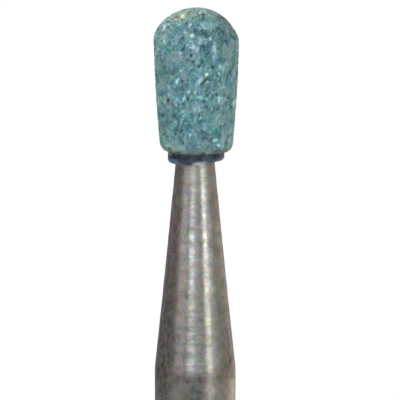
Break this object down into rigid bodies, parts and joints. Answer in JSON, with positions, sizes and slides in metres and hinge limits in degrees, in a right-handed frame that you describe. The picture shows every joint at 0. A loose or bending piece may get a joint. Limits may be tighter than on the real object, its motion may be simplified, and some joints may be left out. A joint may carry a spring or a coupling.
{
  "type": "mounted point",
  "caption": "Small abrasive mounted point: round-nosed tapered grit head bonded to a turned steel mandrel with a tapered neck and straight handpiece shank.",
  "frame": {"origin": "centre of the shank's flat end face, the end that goes into the collet", "axes": "+Z runs along the tool's axis from the shank's end to the nose of the abrasive head; the tool is round, so X and Y have no features, and the picture looks along +Y"},
  "size_m": [0.0024, 0.0024, 0.0445],
  "materials": {
    "turned_steel": "satin",
    "dark_cement": "satin",
    "green_grit": "matte"
  },
  "bodies": {
    "root": {"steel_mandrel": "turned_steel", "bond_collar": "dark_cement", "abrasive_head": "green_grit"}
  },
  "joints": []
}
